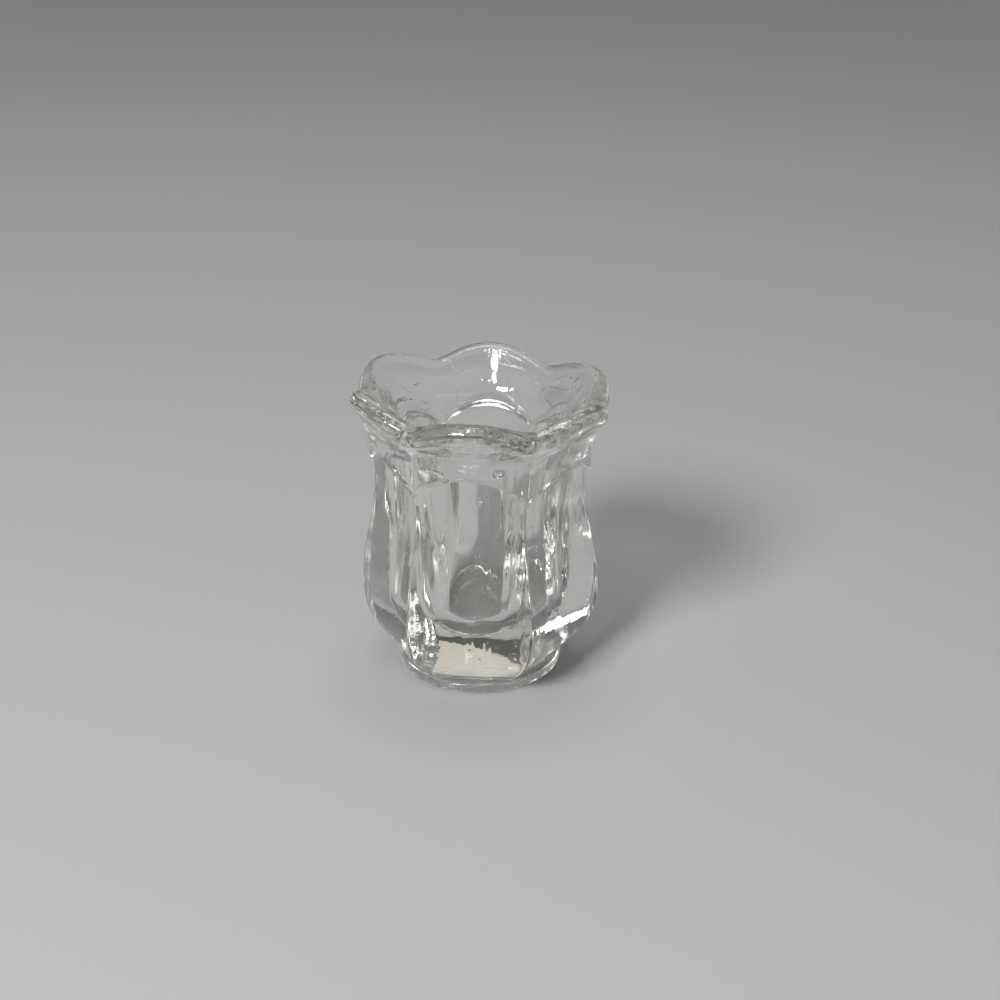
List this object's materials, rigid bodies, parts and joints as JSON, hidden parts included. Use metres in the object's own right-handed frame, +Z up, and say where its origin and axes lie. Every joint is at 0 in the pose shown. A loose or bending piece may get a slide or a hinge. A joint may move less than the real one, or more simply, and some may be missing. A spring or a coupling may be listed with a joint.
{
  "type": "toothpick holder",
  "caption": "Clear pressed glass toothpick holder: waisted fluted body with arched panels, flared scalloped rim, tapered round well, thick base and round foot.",
  "frame": {"origin": "centre of the foot's underside, on the table", "axes": "+Z up along the axis of the glass; one flute faces -Y"},
  "size_m": [0.049, 0.0508, 0.059],
  "materials": {
    "clear_glass": "fire-polished clear pressed glass"
  },
  "bodies": {
    "root": {"toothpick_holder": "clear_glass"}
  },
  "joints": []
}
